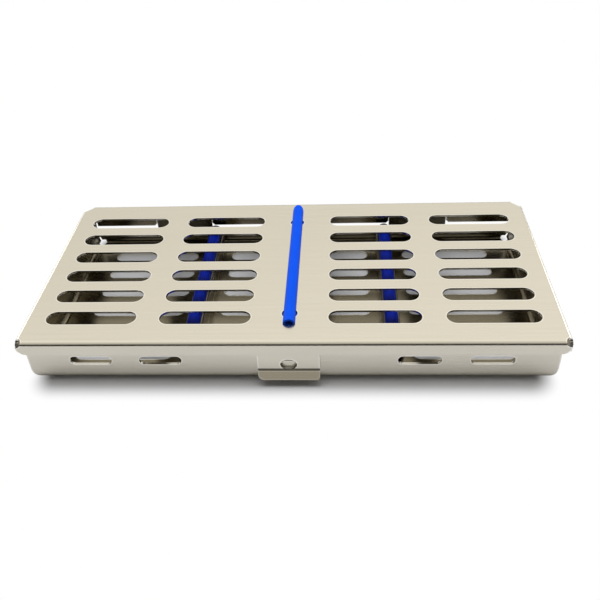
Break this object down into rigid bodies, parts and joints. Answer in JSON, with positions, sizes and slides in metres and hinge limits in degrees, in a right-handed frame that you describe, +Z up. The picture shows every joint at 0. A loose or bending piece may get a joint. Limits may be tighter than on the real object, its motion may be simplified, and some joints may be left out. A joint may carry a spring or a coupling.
{
  "type": "instrument cassette",
  "caption": "Stainless instrument cassette: slotted sheet tray with a hinged slotted lid, spring latch tab, two silicone rails and a silicone hold-down strip.",
  "frame": {"origin": "centre of the tray's flat underside, midway between the lid's ends and between its front and rear skirts", "axes": "+X along the cassette's length, +Y from the latch towards the hinges, +Z up out of the tray"},
  "size_m": [0.18, 0.0919, 0.0193],
  "materials": {
    "brushed_stainless": "brushed",
    "pin_steel": "drawn wire, satin",
    "blue_silicone": "satin"
  },
  "bodies": {
    "tray": {"tray": "brushed_stainless", "left_rail_bracket": "brushed_stainless", "right_rail_bracket": "brushed_stainless", "left_rail": "blue_silicone", "right_rail": "blue_silicone", "left_hinge_pin": "pin_steel", "right_hinge_pin": "pin_steel"},
    "lid": {"lid": "brushed_stainless", "lid_strip": "blue_silicone"}
  },
  "joints": [
    {"name": "lid_hinge", "type": "hinge", "parent": "tray", "child": "lid", "pos_m": [0, 0.04445, 0.0134], "axis": [-1, 0, 0], "range_deg": [0, 180]}
  ]
}
